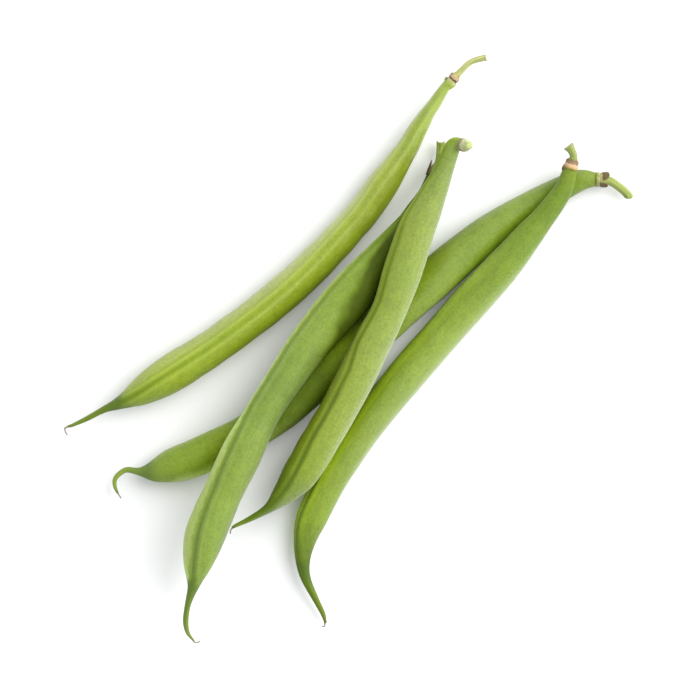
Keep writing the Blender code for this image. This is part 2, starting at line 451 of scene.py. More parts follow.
pods["top"] = {
    "seam": [(0.0, 24), (0.17, 28), (0.26, 41), (0.5, 41), (0.56, 58), (0.72, 61), (0.78, 68), (0.86, 78),
             (0.91, 84)],
    "groove": [(0.07, 0.0), (0.24, 1.0)],
    "pattern": 29.0, "seeds": 11, "beak": 0.905, "beakTone": 1.3,
    "sheltered": 0.22, "paintedShade": 0.15, "fuzz": 0.5,
    "tones": [(0.0, 0.19, 0.29, 0.014), (0.04, 0.17, 0.25, 0.012), (0.08, 0.134, 0.196, 0.01),
              (0.11, 0.134, 0.194, 0.01), (0.17, 0.164, 0.222, 0.012), (0.32, 0.178, 0.243, 0.013),
              (0.56, 0.193, 0.256, 0.014), (0.79, 0.174, 0.234, 0.012), (0.85, 0.134, 0.196, 0.01)],
    "line": (0.62, 0.6, tone(0.075, 0.122, 0.004)), "lips": (0.1, tone(0.34, 0.39, 0.08)),
    "bloom": [(0.0, 1.3), (0.06, 1.2), (0.12, 0.8), (0.3, 0.72), (0.5, 0.8), (0.66, 0.72), (0.8, 0.42),
              (0.88, 0.9), (0.93, 2.2)],
    "leftSide": (2.6, 0.4), "rightSide": (3.5, 7.5),
    "leftShade": [(0.05, 1.0), (0.12, 1.31), (0.3, 1.04), (0.59, 1.0), (0.79, 1.05), (0.9, 0.98)],
    "leftBloom": [(0.01, 0.2), (0.05, 0.05), (0.12, 0.25), (0.45, 0.2), (0.7, 0.65), (0.9, 0.6)],
    "rightShade": [(0.01, 1.2), (0.05, 1.15), (0.08, 0.94), (0.3, 0.97), (0.59, 0.9), (0.7, 1.0),
                   (0.79, 1.02), (0.9, 1.18)],
    "rightBloom": [(0.01, 1.6), (0.05, 1.2), (0.59, 1.2), (0.7, 1.45), (0.79, 1.4), (0.9, 0.75)],
}
pods["under"] = {
    "seam": [(0.9, -5)],
    "groove": [(0.0, 0.5)],
    "pattern": 41.0, "seeds": 13, "beak": 0.905, "beakTone": 1.35,
    "sheltered": 0.5, "paintedShade": 0.1, "fuzz": 0.28,
    # painted shade: the dark stretch from 0.575 to 0.68 is where the beans above shade this pod
    "tones": [(0.0, 0.14, 0.2, 0.008), (0.05, 0.116, 0.176, 0.008), (0.12, 0.14, 0.21, 0.008),
              (0.3, 0.15, 0.218, 0.008), (0.42, 0.144, 0.208, 0.008), (0.52, 0.215, 0.315, 0.01),
              (0.575, 0.092, 0.142, 0.006), (0.68, 0.092, 0.142, 0.006), (0.76, 0.19, 0.268, 0.008),
              (0.84, 0.166, 0.238, 0.008)],
    # painted light: a pale rim along the lower edge towards the tail
    "rim": (0.6, tone(0.26, 0.34, 0.06)),
    "line": (0.4, 0.4, tone(0.12, 0.19, 0.004)), "lips": (0.05, tone(0.36, 0.41, 0.12)),
    "bloom": [(0.0, 0.5), (0.1, 1.0), (0.3, 1.45), (0.42, 1.5), (0.52, 0.9), (0.66, 0.6), (0.8, 0.55),
              (0.9, 0.75)],
    "leftSide": (4.0, 1.0), "rightSide": (9.0, 13.0),
    "leftShade": [(0.01, 0.94), (0.04, 0.93), (0.07, 1.2), (0.1, 1.05), (0.3, 1.06), (0.52, 1.25),
                  (0.66, 1.1), (0.74, 1.08), (0.85, 1.18), (0.9, 1.12)],
    "leftBloom": [(0.01, 0.9), (0.04, 1.5), (0.07, 1.5), (0.16, 1.1), (0.74, 1.5), (0.8, 2.1),
                  (0.85, 2.0), (0.9, 1.4)],
    "rightShade": [(0.01, 1.4), (0.04, 1.2), (0.1, 1.4), (0.16, 1.5), (0.3, 1.14), (0.45, 1.07),
                   (0.52, 1.09), (0.66, 0.9), (0.74, 0.89), (0.8, 1.72), (0.85, 1.34), (0.9, 1.47)],
    "rightBloom": [(0.01, 0.6), (0.07, 1.05), (0.1, 1.05), (0.52, 0.3), (0.66, 0.45), (0.74, 0.9),
                   (0.8, 4.7), (0.9, 2.9)],
}
pods["right"] = {
    "seam": [(0.0, 22), (0.12, 24), (0.3, 12), (0.6, 12), (0.74, 38), (0.84, 38), (0.92, 70)],
    "groove": [(0.45, -0.4), (0.7, 1.0)],
    "pattern": 53.0, "seeds": 13, "beak": 0.88, "beakTone": 0.86,
    "sheltered": 0.6, "paintedShade": 0.0, "fuzz": 0.42,
    "tones": [(0.0, 0.13, 0.176, 0.008), (0.04, 0.108, 0.168, 0.008), (0.1, 0.109, 0.175, 0.008),
              (0.17, 0.13, 0.202, 0.008), (0.3, 0.165, 0.238, 0.008), (0.5, 0.158, 0.228, 0.008),
              (0.66, 0.152, 0.217, 0.008), (0.8, 0.15, 0.218, 0.008), (0.86, 0.084, 0.128, 0.008)],
    "flank": tone(0.33, 0.46, 0.02), "flankEdge": (-1.2, -2.4),
    "flankShare": [(0.0, 0.7), (0.04, 0.65), (0.1, 0.4), (0.16, 0.55), (0.3, 0.45), (0.42, 0.5),
                   (0.59, 0.2), (0.66, 0.35), (0.74, 0.8), (0.84, 0.8), (0.9, 0.4)],
    # painted light: a brighter shoulder beside the seam
    "shoulder": (0.7, tone(0.26, 0.37, 0.012)),
    "line": (0.3, 0.62, tone(0.26, 0.33, 0.07)), "lips": (0.05, tone(0.36, 0.41, 0.12)),
    "bloom": [(0.0, 0.15), (0.06, 0.3), (0.3, 0.74), (0.5, 1.0), (0.66, 0.78), (0.88, 0.2)],
    "leftSide": (3.6, 1.2), "rightSide": (6.5, 10.5),
    "leftShade": [(0.01, 1.05), (0.05, 1.12), (0.1, 1.05), (0.18, 1.19), (0.3, 1.1), (0.42, 1.17),
                  (0.5, 1.1), (0.59, 0.94), (0.66, 1.08), (0.78, 1.48), (0.94, 1.29)],
    "leftBloom": [(0.01, 2.0), (0.05, 0.8), (0.18, 0.9), (0.42, 1.7), (0.5, 1.75), (0.59, 0.85),
                  (0.66, 1.15), (0.88, 0.6), (0.94, 0.75)],
    "rightShade": [(0.3, 1.1), (0.59, 1.0), (0.66, 1.05), (0.88, 1.05), (0.94, 1.15)],
    "rightBloom": [(0.05, 2.2), (0.1, 1.8), (0.3, 1.4), (0.66, 1.6), (0.94, 1.2)],
}
podShape = {
    "step": 0.4 * mm, "around": 112, "crowding": 0.6,
    "grooveDepth": 0.17, "grooveWidth": 0.56, "lipHeight": 0.1, "lipPlace": 1.15, "lipWidth": 0.5,
    "backDepth": 0.1, "backLips": 0.5, "seedHeight": 0.13, "seedLength": 0.36, "seedShift": 0.22,
    "cheekPlace": 1.45, "cheekWidth": 0.75, "wave": 0.07, "waveLength": 6.5 * mm, "clearance": 0.05,
    "bulgeLength": 0.085,
}


def podOutline(spine, settings):
    shape = podShape
    places, degrees = zip(*settings["seam"])
    seedRun = spine.length / (settings["seeds"] + 3.0)

    def turned(turn):
        # corners crowd together at both seams
        return turn - shape["crowding"] * np.sin(4 * pi * turn) / (4 * pi)

    def radii(distance):
        return spine.at(spine.halfWidth, distance), spine.at(spine.halfHeight, distance)

    def layOut(distance, turn):
        width, height = radii(distance)
        girth = pi * (width + height)
        return np.column_stack([distance / mm, (turned(turn) - 0.5) * girth / mm])

    def seams(distance, fromSeam, radius):
        # the groove between its two lips, and the flatter seam on the back
        sunk = np.interp(distance / spine.length, *zip(*settings["groove"]))
        lips = bell(fromSeam - shape["lipPlace"], shape["lipWidth"])
        fromBack = pi * radius - fromSeam
        backLips = shape["backLips"] * bell(fromBack - shape["lipPlace"], shape["lipWidth"])
        raised = shape["lipHeight"] * (np.maximum(sunk, 0.0) * lips + backLips)
        front = shape["grooveDepth"] * sunk * bell(fromSeam, shape["grooveWidth"])
        return raised - front - shape["backDepth"] * bell(fromBack, shape["grooveWidth"])

    def swellings(distance, fromSeam, radius):
        # one on each cheek over every seed, not quite evenly spaced
        nth = distance / seedRun - 1.5
        nearest = np.floor(nth + 0.5)
        shift = shape["seedShift"] * np.sin(settings["pattern"] + 2.4 * nearest)
        real = (nearest >= 0) & (nearest < settings["seeds"])
        cheeks = bell(fromSeam / radius - shape["cheekPlace"], shape["cheekWidth"])
        return shape["seedHeight"] * real * bell(nth + shift - nearest, shape["seedLength"]) * cheeks

    def place(distance, fullness, turn):
        width, height = radii(distance)
        share = distance / spine.length
        angle = np.radians(np.interp(share, places, degrees)) + pi + 2 * pi * turned(turn)
        sideways, rise = np.cos(angle), np.sin(angle)
        fromSeam = np.abs(layOut(distance, turn)[:, 1])
        radius = (width + height) / (2 * mm)
        plump = easeIn(radius, 1.0, 3.2)
        relief = seams(distance, fromSeam, radius) + swellings(distance, fromSeam, radius)
        smooth = spine.place(distance, width * sideways, height * rise)
        waves = np.array([noise.noise(Vector(spot) / shape["waveLength"]) for spot in smooth])
        relief = plump * (relief + shape["wave"] * waves) - shape["clearance"]
        if "bulge" in settings:
            lean = np.maximum(-sideways, 0.0) ** 2 * (1 - 0.6 * np.maximum(rise, 0.0))
            relief += settings["bulge"][1] * lean * bell(share - settings["bulge"][0], shape["bulgeLength"])
        grown = fullness * (1 + relief / np.maximum(radius, 0.2))
        spots = spine.place(distance, width * grown * sideways, height * grown * rise)
        spots[:, 2] = np.maximum(spots[:, 2], 0.0)
        return spots

    return place, layOut


def coverOver(bean, spine, place):
    # share of the sky that the other beans hide, worked out on a coarse grid and spread between
    gap, around, rays = 2.0 * mm, 24, 28    # between the grid's rows, points in a row, rays from each
    reach, lift = 30.0 * mm, 0.25 * mm
    others = bmesh.new()
    for name in beanNames:
        if name != bean:
            others.from_mesh(frame["nodes"][name + "_pod"].data)
    tree = BVHTree.FromBMesh(others)
    others.free()
    lengthways = int(spine.length / gap) + 1
    steps = (np.arange(rays) + 0.5) / rays
    spin = np.arange(rays) * pi * (3 - sqrt(5))
    level = np.sqrt(steps)
    spread = np.column_stack([level * np.cos(spin), level * np.sin(spin), np.sqrt(1 - steps)])
    row, column = [grid.ravel() for grid in np.mgrid[0:lengthways + 1, 0:around]]
    distance = row * spine.length / lengthways
    spots = place(distance, np.ones(len(row)), column / around)
    outward = unit(spots - spine.place(distance, np.zeros(len(row)), np.zeros(len(row))))
    along = spine.at(spine.along, distance)
    across = unit(np.cross(along, outward))
    shares = np.zeros(len(row))
    for number in range(len(row)):
        start = Vector(spots[number] + outward[number] * lift)
        basis = np.array([along[number], across[number], outward[number]])
        for heading in spread @ basis:
            if heading[2] > 0 and tree.ray_cast(start, Vector(heading), reach)[0] is not None:
                shares[number] += 1 / rays
    table = shares.reshape(lengthways + 1, around)
    table = np.column_stack([table, table[:, 0]])

    def cover(distance, turn):
        rows = np.clip(distance / spine.length, 0.0, 1.0) * lengthways
        columns = np.clip(turn, 0.0, 1.0) * around
        low = np.minimum(rows.astype(int), lengthways - 1)
        left = np.minimum(columns.astype(int), around - 1)
        down, over = rows - low, columns - left
        upper = table[low, left] * (1 - over) + table[low, left + 1] * over
        lower = table[low + 1, left] * (1 - over) + table[low + 1, left + 1] * over
        return upper * (1 - down) + lower * down

    return cover


# Two or four numbers are where a change starts and ends: in mm from the seam or after the beak's start,
# or in shares of the length for those along the pod.
podSkin = {
    "patch": 11.0, "mottle": 2.2, "speck": 0.55, "fuzz": (0.28, 1.1), "streak": (7.0, 0.8),    # in mm
    "patchTones": (tone(0.95, 0.98, 1.0), tone(1.0, 1.0, 0.9)),
    "shades": (0.85, 0.13, 0.08, 0.12),    # of all skin, and added by mottling, streaks and specks
    "ragged": 0.7,    # how far mottling shifts the edge of a colour, in mm
    "leftEnd": (-11.5, -8.0), "rightReturn": (-11.5, -14.5), "flankEnd": (-13.0, -9.0),
    # where the shoulder and rim of painted light lie, across and then along the pod
    "shoulderAcross": (0.7, 1.5, 5.0, 3.0), "shoulderAlong": (0.18, 0.28, 0.76, 0.68),
    "rimAcross": (9.6, 12.4), "rimAlong": (0.6, 0.75, 0.95, 0.89),
    "lipPlace": 1.2, "lipWidth": 0.42, "farLip": 0.55,
    "furrowTone": tone(0.085, 0.14, 0.006), "furrowAlong": (0.55, 0.88), "lineAlong": (0.42, 0.8),
    "beakEdge": (-2.0, 2.0), "beakGreen": (0.066, 0.116, 0.014), "beakMottle": 1.5,
    "oliveEdge": (3.5, 9.0), "beakOlive": (0.13, 0.184, 0.018), "tipTone": tone(0.085, 0.085, 0.03),
}


def skinPattern(paint, seed):
    # patches, mottling, streaks and specks, each from 0 to 1
    offset = paint.add("ShaderNodeVectorMath", {"operation": "ADD"}, {0: paint.space, 1: (seed, 0.0, 0.0)})
    patches = paint.ramp(paint.grain(podSkin["patch"] * mm, 1.0, 0.5, offset), 0.36, 0.64)
    mottle = paint.ramp(paint.grain(podSkin["mottle"] * mm, 3.0, 0.6, offset), 0.3, 0.7)
    streaks = paint.ramp(paint.streaks(*podSkin["streak"], seed), 0.32, 0.68)
    specks = paint.ramp(paint.grain(podSkin["speck"] * mm, 2.0, 0.6, offset), 0.3, 0.7)
    return patches, mottle, streaks, specks


def paleFlankAndPaintedLight(paint, settings, colour, share, mottle):
    # the pale flank beyond the seam, partly the skin's bloom and partly painted light, then painted light
    # on the shoulder beside it and a pale rim of painted light opposite
    ragged = paint.round + podSkin["ragged"] * mottle
    if "flank" in settings:
        flank = paint.ramp(ragged, *settings["flankEdge"]) * paint.ramp(paint.round, *podSkin["flankEnd"])
        flank *= paint.valueAlong(share, settings["flankShare"])
        colour = paint.mix(flank, colour, settings["flank"])
    for name in ("shoulder", "rim"):
        if name in settings:
            along = podSkin[name + "Along"]
            patch = paint.window(share, *along) * paint.window(ragged, *podSkin[name + "Across"])
            colour = paint.mix(settings[name][0] * patch, colour, settings[name][1])
    return colour


def beakPaint(paint, settings, run, mottle):
    # the beak is dark where it leaves the pod, then olive, and dark again at its very end
    start, strength = run * settings["beak"], settings["beakTone"]
    spot = paint.along - start + podSkin["beakMottle"] * mottle
    beak = paint.ramp(spot, *podSkin["beakEdge"])
    olive = paint.ramp(spot, *podSkin["oliveEdge"])
    colour = paint.mix(olive, tone(*podSkin["beakGreen"], strength), tone(*podSkin["beakOlive"], strength))
    tip = paint.ramp(paint.along, run - 2.2, run - 0.2)
    return beak, paint.mix(0.6 * tip, colour, podSkin["tipTone"])


def podPaint(bean, settings, length):
    paint = Paint(bean + "PodSkin")
    run = length / mm
    share = paint.along / run
    patches, mottle, streaks, specks = skinPattern(paint, settings["pattern"])
    leftward = paint.ramp(paint.round, *settings["leftSide"]) * paint.ramp(paint.round, *podSkin["leftEnd"])
    rightward = paint.ramp(paint.round, *settings["rightSide"])
    rightward += paint.ramp(paint.round, *podSkin["rightReturn"])

    # leftShade and rightShade brighten or darken each side along the pod as painted light and shade;
    # leftBloom and rightBloom set its fuzz
    def bySide(quality):
        left = paint.valueAlong(share, settings["left" + quality])
        right = paint.valueAlong(share, settings["right" + quality])
        return (1 + leftward * (left - 1)) * (1 + rightward * (right - 1))

    # the skin's colour along the pod, partly painted shade: stretches that other beans shade are set darker
    colour = paint.toneAlong(share, settings["tones"])
    colour = paint.mix(1.0, colour, paint.mix(patches, *podSkin["patchTones"]), "MULTIPLY")
    colour = paleFlankAndPaintedLight(paint, settings, colour, share, mottle)
    shelter = paint.add("ShaderNodeAttribute", {"attribute_name": "shelter"}, {}, "Fac")
    plain, byMottle, byStreaks, bySpecks = podSkin["shades"]
    shade = plain + byMottle * mottle + byStreaks * streaks + bySpecks * specks
    # painted shade: the skin is darkened where the other beans hide its sky
    shade *= 1 - settings["paintedShade"] * paint.ramp(shelter, 0.0, settings["sheltered"] * 1.5)
    # the mottling's own light and dark, times painted shade between the beans and painted light and shade
    # on each side
    colour = paint.darker(colour, shade * bySide("Shade"))

    # pale lips, then the beak, then the dark line between the lips
    fromSeam = abs(paint.round)
    lips = paint.bell(fromSeam - podSkin["lipPlace"], podSkin["lipWidth"])
    lips *= paint.ramp(paint.along, 2.0, 9.0) * paint.ramp(share, 0.95, 0.86)
    lips *= paint.ramp(paint.round, -0.2, 0.2, 1.0, podSkin["farLip"])
    colour = paint.mix(settings["lips"][0] * lips, colour, settings["lips"][1])
    beak, beakColour = beakPaint(paint, settings, run, mottle)
    colour = paint.mix(0.85 * beak, colour, beakColour)
    lineWidth, lineShare, lineTone = settings["line"]
    ends = paint.window(share, 0.03, 0.12, 0.995, 0.95)
    line = paint.bell(fromSeam, lineWidth) * ends * paint.ramp(share, *podSkin["lineAlong"], 0.7, 1.6)
    furrow = paint.mix(paint.ramp(share, *podSkin["furrowAlong"]), lineTone, podSkin["furrowTone"])
    colour = paint.mix(lineShare * line, colour, furrow)

    # the short fuzz shows pale where the sky reaches it, and not between the beans
    bloom = paint.valueAlong(share, settings["bloom"]) * bySide("Bloom")
    bloom *= paint.ramp(shelter, settings["sheltered"], 0.0)
    bloom *= (1 - 0.45 * beak) * (1 - 0.55 * paint.bell(fromSeam, 1.0) * ends)
    bloom *= 0.75 + 0.5 * specks
    fine, coarse = podSkin["fuzz"]
    fuzz = paint.grain(fine * mm, 3.0, 0.7) + 0.6 * paint.grain(coarse * mm, 2.0) + 0.5 * streaks
    roughness = paint.ramp(mottle, 0.0, 1.0, 0.5, 0.6)
    paint.finish(colour, roughness, 0.1, Normal=paint.bumps(fuzz, 0.1 * mm, 0.7))
    return paint.cover(bloom, Sheen_Weight=settings["fuzz"], Sheen_Roughness=0.6, Specular_IOR_Level=0.4)


for bean, settings in pods.items():
    spine = podSpines[bean]
    rows = rowsAlong(spine.length, podShape["step"], roundEnd(0.45 * mm, 6), roundEnd(0.3 * mm, 5))
    shape = bmesh.new()
    place, layOut = podOutline(spine, settings)
    rollTube(shape, rows, podShape["around"], place, layOut, cover=coverOver(bean, spine, place))
    look = podPaint(bean, settings, spine.length)
    piece = finishPiece(shape, bean + "Pod", bean + "_pod", [look])
    print(piece.name, "built with", len(piece.data.polygons), "faces")


# Calyxes, stalks and dried tips

def growLimb(shape, spine, step, around, head, tail, look=0, endLook=None, ridges=0.0, notch=0.0):
    # a tube as wide and as thick as its spine says, with shallow ridges along it and a notch in its end
    def place(distance, fullness, turn):
        angle = 2 * pi * turn
        nearEnd = easeIn(distance, spine.length - 1.4 * mm, spine.length - 0.2 * mm)
        distance = distance - notch * nearEnd * (1 - (fullness * np.cos(angle)) ** 2)
        grown = fullness * (1 + ridges * np.cos(5 * angle))
        width = spine.at(spine.halfWidth, distance) * grown
        height = spine.at(spine.halfHeight, distance) * grown
        return spine.place(distance, width * np.cos(angle), height * np.sin(angle))

    def layOut(distance, turn):
        girth = pi * (spine.at(spine.halfWidth, distance) + spine.at(spine.halfHeight, distance))
        return np.column_stack([distance / mm, (turn - 0.5) * girth / mm])

    rollTube(shape, rowsAlong(spine.length, step, head, tail), around, place, layOut, look, endLook)


def collarSpine(bean, settings):
    # from inside the pod's neck to inside its stalk
    pod, stalk = podSpines[bean], stalkSpines[bean]
    start, end = pod.at(pod.centre, settings["inside"] * mm), stalk.at(stalk.centre, 0.4 * mm)
    reach = np.linalg.norm(end - start)
    t = np.linspace(0.0, 1.0, 17)[:, None]
    points = (1 + 2 * t) * (1 - t) ** 2 * start + t * t * (3 - 2 * t) * end
    leaving = unit(-pod.along[0] * (1 - settings["bend"]) + stalk.along[0] * settings["bend"])
    points = points + t * (1 - t) ** 2 * reach * leaving - t * t * (1 - t) * reach * stalk.along[0]
    spine = Spine(points, 0.05 * mm)
    shares, radii = zip(*settings["rings"])
    knots = np.array(shares) * spine.length
    radius = cubicThrough(knots, np.array(radii)[:, None] * mm, spine.run)[:, 0]
    spine.halfWidth = spine.halfHeight = radius
    return spine


def growLobe(shape, collar, lobe, look):
    # a thin dry tongue that starts on the collar, leaves it at an angle and bends on its way
    turn, start, out, length, width, lift, curl, taper, thick = lobe
    turn = radians(turn)
    start = start * collar.length
    side, up, along = [collar.at(rows, start) for rows in (collar.side, collar.up, collar.along)]
    outward = side * cos(turn) + up * sin(turn)
    across = np.cross(outward, along)
    points = [collar.at(collar.centre, start) + outward * (out * mm)]
    count = 12
    for step in range(count):
        angle = radians(lift + curl * (step + 0.5) / count)
        heading = along * cos(angle) + outward * sin(angle)
        points.append(points[-1] + heading * (length * mm / count))
    tongue = Spine(points, 0.06 * mm, across)
    share = tongue.run / tongue.length
    ragged = 1 + 0.1 * np.sin(share * 17 + turn * 3)
    tongue.halfWidth = 0.5 * width * mm * (1 - share ** taper) ** 0.7 * ragged + 0.03 * mm
    tongue.halfHeight = thick * mm * (1 - 0.6 * share)
    growLimb(shape, tongue, 0.08 * mm, 20, roundEnd(0.05 * mm, 3), roundEnd(0.04 * mm, 3), look)


# A collar starts inside its pod by some mm, and its bend is how far it leaves in the stalk's direction.
# Rings are (share of the collar, radius in mm). A lobe is its turn in degrees, start along the collar,
# distance out, length and width in mm, lift and curl in degrees, taper, and thickness in mm. A lift of 0
# is towards the stalk, and one of 180 is back along the pod.
calyxes = {}
calyxes["left"] = {
    "inside": 2.4, "bend": 0.0,
    "rings": [(0.0, 0.9), (0.16, 1.22), (0.28, 1.42), (0.4, 1.56), (0.49, 1.52), (0.57, 1.2),
              (0.66, 1.42), (0.76, 1.34), (0.85, 1.04), (0.93, 0.86), (1.0, 0.72)],
    "lobes": [(165, 0.5, 1.4, 1.0, 1.8, 174, 4, 2.4, 0.3),
              (-110, 0.5, 1.42, 1.6, 1.8, 175, 4, 2.4, 0.09),
              (150, 0.68, 1.1, 1.0, 1.0, 40, -50, 3.0, 0.18)],
    "lobeTones": (tone(0.22, 0.19, 0.08), tone(0.3, 0.31, 0.12)),
    "tones": [(0.0, 0.32, 0.42, 0.05), (0.36, 0.31, 0.39, 0.07), (0.5, 0.33, 0.34, 0.13),
              (0.56, 0.18, 0.11, 0.06), (0.6, 0.1, 0.05, 0.03), (0.65, 0.42, 0.31, 0.2),
              (0.75, 0.38, 0.26, 0.15), (0.82, 0.34, 0.3, 0.08), (1.0, 0.34, 0.34, 0.12)],
}
calyxes["middle"] = {
    "inside": 0.7, "bend": 0.3,
    "rings": [(0.0, 1.1), (0.2, 1.55), (0.4, 1.58), (0.6, 1.42), (0.8, 1.15), (1.0, 0.95)],
    "lobes": [(158, 0.02, 1.45, 3.8, 1.7, 3, 2, 1.7, 0.3),
              (-80, 0.3, 1.4, 1.9, 1.3, 30, -15, 2.0, 0.09)],
    "lobeTones": (tone(0.085, 0.065, 0.02), tone(0.07, 0.042, 0.016)),
    "tones": [(0.0, 0.1, 0.155, 0.012), (0.3, 0.105, 0.14, 0.012), (0.6, 0.14, 0.16, 0.02),
              (1.0, 0.16, 0.2, 0.014)],
}
calyxes["top"] = {
    "inside": 1.5, "bend": 0.0,
    "rings": [(0.0, 1.45), (0.2, 1.64), (0.4, 1.68), (0.6, 1.64), (0.7, 1.56), (0.76, 1.42), (0.86, 1.34),
              (1.0, 1.18)],
    "lobes": [(-60, 0.66, 1.46, 1.2, 1.6, 174, 8, 2.4, 0.1)],
    "lobeTones": (tone(0.3, 0.25, 0.11), tone(0.22, 0.2, 0.06)),
    "tones": [(0.0, 0.19, 0.28, 0.03), (0.3, 0.18, 0.23, 0.03), (0.48, 0.2, 0.17, 0.05),
              (0.66, 0.34, 0.25, 0.12), (0.74, 0.47, 0.48, 0.3), (1.0, 0.42, 0.48, 0.2)],
}
calyxes["under"] = {
    "inside": 0.7, "bend": 0.0,
    "rings": [(0.0, 1.4), (0.12, 1.82), (0.2, 1.86), (0.26, 1.72), (0.32, 1.9), (0.38, 1.72), (0.5, 1.68),
              (0.74, 1.62), (0.86, 1.36), (1.0, 1.05)],
    "lobes": [(128, 0.66, 1.38, 1.5, 2.3, 42, -40, 4.0, 0.55),
              (28, 0.44, 1.46, 1.9, 2.0, 14, -12, 4.0, 0.48),
              (170, 0.5, 1.52, 1.0, 1.5, 20, -30, 3.0, 0.26),
              (-75, 0.5, 1.45, 1.8, 1.7, 40, -30, 3.0, 0.2)],
    "lobeTones": (tone(0.14, 0.1, 0.045), tone(0.1, 0.062, 0.03)),
    "tones": [(0.0, 0.12, 0.19, 0.012), (0.16, 0.16, 0.21, 0.03), (0.21, 0.3, 0.22, 0.1),
              (0.26, 0.2, 0.23, 0.05), (0.32, 0.56, 0.54, 0.28), (0.37, 0.19, 0.15, 0.06),
              (0.44, 0.28, 0.3, 0.1), (0.75, 0.24, 0.25, 0.06), (1.0, 0.22, 0.25, 0.05)],
}
calyxes["right"] = {
    "inside": 0.7, "bend": 0.75,
    "rings": [(0.0, 1.5), (0.16, 1.86), (0.26, 1.9), (0.33, 1.8), (0.42, 1.86), (0.52, 1.74),
              (0.64, 1.54), (0.8, 1.32), (1.0, 1.1)],
    "lobes": [(172, 0.34, 1.66, 1.5, 1.9, 150, 40, 3.0, 0.22),
              (140, 0.5, 1.46, 1.3, 1.5, 12, -10, 3.4, 0.2),
              (95, 0.5, 1.48, 1.2, 1.5, 12, -12, 3.4, 0.2),
              (50, 0.5, 1.48, 1.3, 1.5, 12, -12, 3.4, 0.2),
              (5, 0.5, 1.44, 1.2, 1.5, 8, -12, 3.4, 0.2),
              (-60, 0.5, 1.46, 1.3, 1.5, 12, -12, 3.0, 0.2),
              (-120, 0.5, 1.46, 1.3, 1.5, 12, -12, 3.0, 0.2)],
    "lobeTones": (tone(0.28, 0.19, 0.1), tone(0.15, 0.095, 0.05)),
    "tones": [(0.0, 0.11, 0.165, 0.012), (0.2, 0.2, 0.2, 0.03), (0.28, 0.4, 0.24, 0.09),
              (0.4, 0.62, 0.42, 0.22), (0.5, 0.5, 0.3, 0.19), (0.58, 0.24, 0.14, 0.08),
              (0.76, 0.2, 0.17, 0.07), (1.0, 0.22, 0.25, 0.06)],
}


def collarPaint(bean, settings, length):
    paint = Paint(bean + "Collar")
    wander = 0.16 * (paint.grain(0.7 * mm, 2.0) - 0.5)
    share = paint.along / (length / mm) + wander
    colour = paint.toneAlong(share, settings["tones"])
    blotch = paint.ramp(paint.grain(0.8 * mm, 3.0, 0.6), 0.56, 0.72)
    colour = paint.mix(0.55 * blotch, colour, tone(0.1, 0.065, 0.03))
    fibres = paint.ramp(paint.streaks(1.6, 0.22, 5.0), 0.3, 0.7)
    colour = paint.darker(colour, 0.8 + 0.36 * fibres)
    normal = paint.bumps(fibres + paint.grain(0.2 * mm, 2.0), 0.08 * mm, 0.8)
    return paint.finish(colour, 0.62 + 0.16 * fibres, 0.25, Normal=normal, Sheen_Weight=0.15)


def lobePaint(bean, settings):
    paint = Paint(bean + "Lobes")
    share = paint.ramp(paint.along + 1.2 * paint.grain(0.6 * mm, 2.0), 0.7, 2.1)
    veins = paint.ramp(paint.streaks(2.5, 0.16, 9.0), 0.34, 0.66)
    colour = paint.mix(share, *settings["lobeTones"])
    colour = paint.darker(colour, 0.74 + 0.46 * veins)
    edge = paint.ramp(paint.grain(0.35 * mm, 2.0), 0.55, 0.7)
    colour = paint.mix(0.4 * edge, colour, tone(0.11, 0.07, 0.04))
    return paint.finish(colour, 0.66 + 0.14 * veins, 0.25, Normal=paint.bumps(veins, 0.06 * mm, 0.8))


for bean, settings in calyxes.items():
    collar = collarSpine(bean, settings)
    shape = bmesh.new()
    growLimb(shape, collar, 0.07 * mm, 48, roundEnd(0.1 * mm, 4), roundEnd(0.1 * mm, 4), ridges=0.018)
    for lobe in settings["lobes"]:
        growLobe(shape, collar, lobe, 1)
    looks = [collarPaint(bean, settings, collar.length), lobePaint(bean, settings)]
    piece = finishPiece(shape, bean + "Calyx", bean + "_calyx", looks)
    print(piece.name, "built with", len(settings["lobes"]), "lobes")


# Flare is how much wider a stalk's cut end is than its middle, notch how deep the cut dips and longer how
# far it reaches past the frame's stem, both in mm, and girth its width against the frame's.
stalks = {
    "left": {"tone": (0.38, 0.385, 0.145), "cut": (0.6, 0.62, 0.46), "flare": 0.04, "notch": 0.1,
             "girth": 1.34, "longer": 0.95},
    # the middle stalk's darker tone and cut are partly painted shade, from where it lies under the top bean
    "middle": {"tone": (0.165, 0.22, 0.014), "cut": (0.15, 0.24, 0.03), "flare": 0.1, "notch": 0.5,
               "girth": 1.12, "longer": 0.3},
    "top": {"tone": (0.43, 0.48, 0.2), "cut": (0.44, 0.48, 0.19), "flare": -0.12, "notch": 0.0,
            "girth": 1.1, "longer": 0.1},
    "under": {"tone": (0.245, 0.29, 0.06), "cut": (0.26, 0.19, 0.1), "flare": 0.04, "notch": 0.0,
              "girth": 1.38, "longer": 0.55},
    "right": {"tone": (0.215, 0.262, 0.062), "cut": (0.38, 0.41, 0.2), "flare": 0.22, "notch": 0.25,
              "girth": 1.3, "longer": 0.15},
}
# the cut face is dished, and its edge is rounded over
cutEnd = [(0.1 * mm, 0.0), (0.07 * mm, 0.3), (0.02 * mm, 0.6), (0.0, 0.82), (0.04 * mm, 0.95),
          (0.14 * mm, 1.0)]
cutRows = len(cutEnd) - 2
roundedStalks = ("top", "under")


